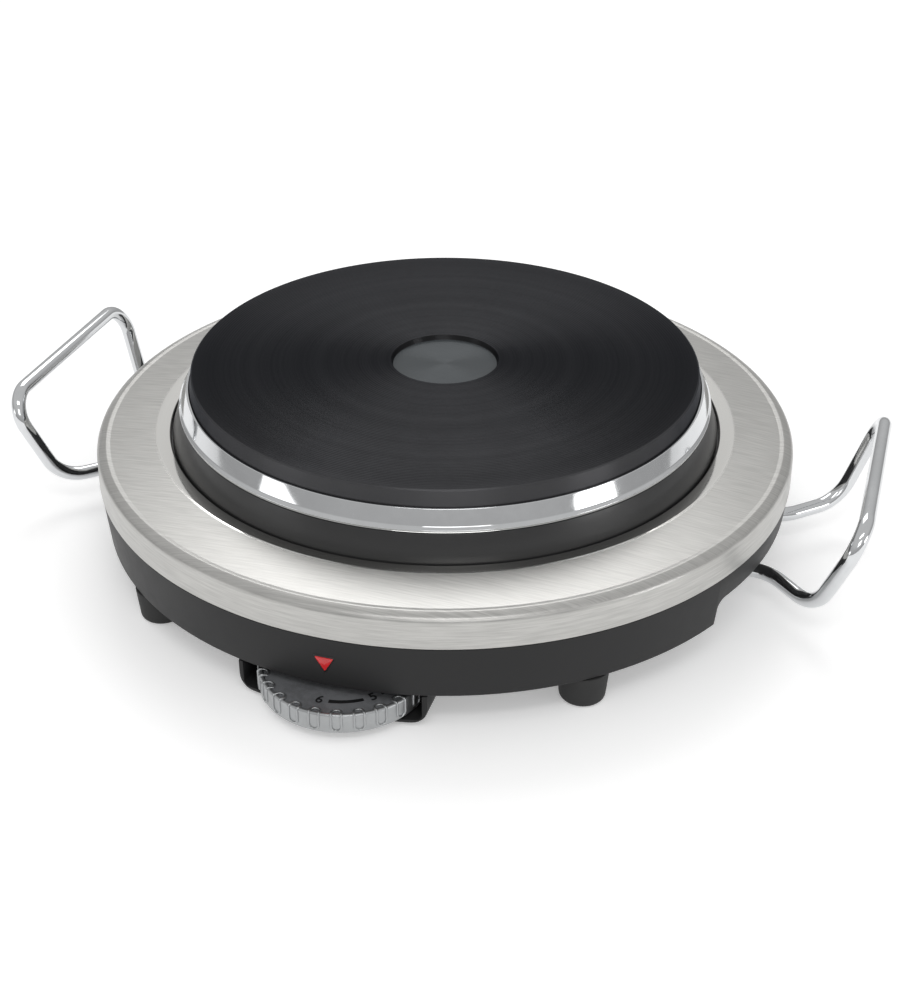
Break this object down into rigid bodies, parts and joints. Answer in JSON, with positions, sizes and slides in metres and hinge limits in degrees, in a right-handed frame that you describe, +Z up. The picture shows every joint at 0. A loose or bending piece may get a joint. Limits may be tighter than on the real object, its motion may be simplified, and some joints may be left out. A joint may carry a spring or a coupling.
{
  "type": "single electric hot plate",
  "caption": "Portable electric hot plate: sealed cast-iron plate on a round steel and black body, wire handles at both sides and a rotary heat dial under the front edge.",
  "frame": {"origin": "on the worktop under the plate's centre, which is also the centre of the whole object's plan box; the feet stand on z = 0", "axes": "+X along the line through the two handles, +Y from the dial towards the cord inlet, +Z up"},
  "size_m": [0.377, 0.328, 0.081],
  "materials": {
    "cast_iron": "fine concentric machined grooves under a black heat-proof coating",
    "chrome_trim": "mirror polished",
    "black_enamel": "satin black enamel",
    "brushed_steel": "linear brushed, polished inner lip",
    "black_body": "satin, very fine grain",
    "silver_grip": "silver metallised, satin",
    "dial_face": "metallic grey with dark printed figures",
    "chrome_wire": "polished",
    "rubber": "matt black",
    "red_lens": "clear red",
    "lamp_glass": "clear",
    "zinc": "zinc plated",
    "reflector": "bright",
    "ceramic": "unglazed",
    "brass": "bright",
    "heater": "heat-stained alloy tube",
    "inner_plastic": "moulded phenolic",
    "sleeve_brown": "heat-proof sleeve",
    "sleeve_red": "heat-proof sleeve",
    "sleeve_blue": "heat-proof sleeve",
    "sleeve_green": "heat-proof sleeve"
  },
  "bodies": {
    "body": {"base_housing": "black_body", "bridge_nut": "zinc", "bridge_washer": "zinc", "clamp_screw_left_front": "zinc", "clamp_screw_left_rear": "zinc", "clamp_screw_right_front": "zinc", "clamp_screw_right_rear": "zinc", "cord_clamp": "inner_plastic", "cord_gland": "rubber", "cover_post_front_left": "zinc", "cover_post_front_right": "zinc", "cover_post_rear_left": "zinc", "cover_post_rear_right": "zinc", "element_cover": "zinc", "foot_front_left": "rubber", "foot_front_right": "rubber", "foot_rear_left": "rubber", "foot_rear_right": "rubber", "foot_screw_front_left": "zinc", "foot_screw_front_right": "zinc", "foot_screw_rear_left": "zinc", "foot_screw_rear_right": "zinc", "handle_clamp_left": "zinc", "handle_clamp_right": "zinc", "handle_left": "chrome_wire", "handle_right": "chrome_wire", "heat_reflector": "reflector", "heater_inner": "heater", "heater_outer": "heater", "hotplate": "cast_iron", "insulation_disc": "ceramic", "knob_shroud": "black_body", "lamp_holder": "ceramic", "lead_earth": "sleeve_green", "lead_live": "sleeve_brown", "lead_neutral": "sleeve_blue", "lead_switched": "sleeve_red", "mains_terminal": "ceramic", "overheat_limiter": "inner_plastic", "pilot_lamp": "lamp_glass", "pilot_lens": "red_lens", "plate_stud": "zinc", "regulator_body": "inner_plastic", "regulator_contact": "brass", "regulator_cover": "zinc", "regulator_nut": "brass", "regulator_terminal_1": "brass", "regulator_terminal_2": "brass", "shroud_screw_left": "zinc", "shroud_screw_right": "zinc", "spill_ring": "chrome_trim", "support_bridge": "zinc", "support_collar": "black_enamel", "terminal_block": "ceramic", "top_cover": "brushed_steel"},
    "dial": {"knob_body": "dial_face", "knob_grip_ring": "silver_grip", "regulator_shaft": "zinc", "regulator_cam": "dial_face"},
    "follower": {"regulator_follower": "brass"}
  },
  "joints": [
    {"name": "dial_turn", "type": "hinge", "parent": "body", "child": "dial", "pos_m": [0, -0.13, 0.01], "axis": [0, 0, 1], "range_deg": [-295, 0]},
    {"name": "follower_slide", "type": "slide", "parent": "body", "child": "follower", "axis": [1, 0, 0], "range_m": [0, 0.0015]}
  ],
  "couplings": [
    {"joint": "follower_slide", "follows": "dial_turn", "m_per_rad": -0.000291}
  ]
}
